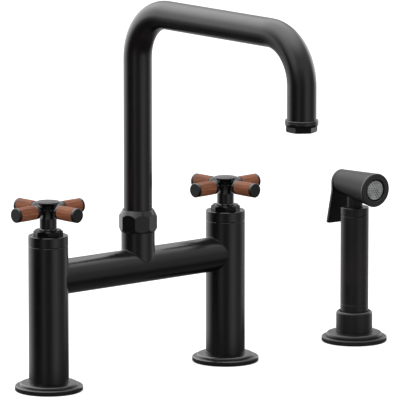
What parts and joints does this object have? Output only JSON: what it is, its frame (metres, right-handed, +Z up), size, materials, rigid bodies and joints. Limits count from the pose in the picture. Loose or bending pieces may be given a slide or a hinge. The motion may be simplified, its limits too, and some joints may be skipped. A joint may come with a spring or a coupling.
{
  "type": "bridge kitchen faucet",
  "caption": "Deck-mounted bridge kitchen faucet with cross handles, wooden sleeves, a square swivel spout and a lift-out side spray.",
  "frame": {"origin": "on the deck plane, midway between the two column shanks", "axes": "+Z up, X along the bridge with the side spray on +X, the spout reaches towards -Y"},
  "size_m": [0.4234, 0.2776, 0.4014],
  "materials": {
    "black_metal": "matt black coat",
    "wood_sleeve": "oiled, straight grain",
    "raw_brass": "turned",
    "stainless": "brushed",
    "black_rubber": "matt",
    "ceramic_disc": "lapped",
    "black_plastic": "moulded",
    "white_plastic": "turned",
    "grey_plastic": "moulded"
  },
  "bodies": {
    "faucet_body": {"left_base_flange": "black_metal", "right_base_flange": "black_metal", "left_column": "black_metal", "right_column": "black_metal", "left_column_collar": "black_metal", "right_column_collar": "black_metal", "bridge_tube": "black_metal", "spout_stub": "black_metal", "spout_nut": "black_metal", "spout_bearing": "white_plastic", "bonnet_nuts": "black_metal", "cartridge_bodies": "raw_brass", "cartridge_fixed_discs": "ceramic_disc", "cartridge_seals": "black_rubber", "deck_gaskets": "black_rubber", "supply_shanks": "raw_brass", "shank_rubber_washers": "black_rubber", "shank_steel_washers": "stainless", "shank_nuts": "raw_brass", "spray_base_flange": "black_metal", "spray_holder": "black_metal", "spray_liner": "black_plastic", "spray_shank": "raw_brass", "spray_rubber_washer": "black_rubber", "spray_steel_washer": "stainless", "spray_mounting_nut": "raw_brass"},
    "spout": {"spout_tube": "black_metal", "spout_bushing": "raw_brass", "spout_o_rings": "black_rubber", "outlet_collar": "black_metal", "aerator_housing": "black_metal", "aerator_screen": "grey_plastic", "aerator_washer": "black_rubber"},
    "left_handle": {"left_handle_hub": "black_metal", "left_handle_sleeves": "wood_sleeve", "left_handle_end_caps": "black_metal", "left_handle_screw": "stainless", "left_handle_cap": "black_metal", "left_spindle": "raw_brass", "left_moving_disc": "ceramic_disc"},
    "right_handle": {"right_handle_hub": "black_metal", "right_handle_sleeves": "wood_sleeve", "right_handle_end_caps": "black_metal", "right_handle_screw": "stainless", "right_handle_cap": "black_metal", "right_spindle": "raw_brass", "right_moving_disc": "ceramic_disc"},
    "spray_hose_end": {"hose_connector": "raw_brass"},
    "side_spray": {"spray_lower_ring": "black_metal", "spray_grip": "black_metal", "spray_upper_ring": "black_metal", "spray_neck": "black_metal", "spray_head": "black_metal", "spray_face_ring": "black_metal", "spray_face": "grey_plastic", "trigger_pin": "stainless"},
    "spray_lever": {"spray_trigger": "black_metal"},
    "spray_valve": {"valve_stem": "stainless"}
  },
  "joints": [
    {"name": "left_handle_turn", "type": "hinge", "parent": "faucet_body", "child": "left_handle", "pos_m": [-0.1016, 0, 0.15], "axis": [0, 0, 1], "range_deg": [0, 90]},
    {"name": "right_handle_turn", "type": "hinge", "parent": "faucet_body", "child": "right_handle", "pos_m": [0.1016, 0, 0.15], "axis": [0, 0, 1], "range_deg": [-90, 0]},
    {"name": "spout_swivel", "type": "hinge", "parent": "faucet_body", "child": "spout", "pos_m": [0, 0, 0.13], "axis": [0, 0, 1], "continuous": true},
    {"name": "spray_lift", "type": "slide", "parent": "faucet_body", "child": "spray_hose_end", "axis": [0, 0, 1], "range_m": [0, 0.08]},
    {"name": "spray_turn", "type": "hinge", "parent": "spray_hose_end", "child": "side_spray", "pos_m": [0.2524, -0.0054, 0.02], "axis": [0, 0, 1], "continuous": true},
    {"name": "lever_squeeze", "type": "hinge", "parent": "side_spray", "child": "spray_lever", "pos_m": [0.25356, 0.01006, 0.1524], "axis": [-0.9972, 0.075, 0], "range_deg": [0, 9], "stiffness_Nm_per_rad": 0.5, "springref_deg": -5.73},
    {"name": "valve_push", "type": "slide", "parent": "side_spray", "child": "spray_valve", "axis": [-0.075, -0.9972, 0], "range_m": [0, 0.0013]}
  ],
  "couplings": [
    {"joint": "valve_push", "follows": "lever_squeeze", "m_per_rad": 0.0078}
  ]
}
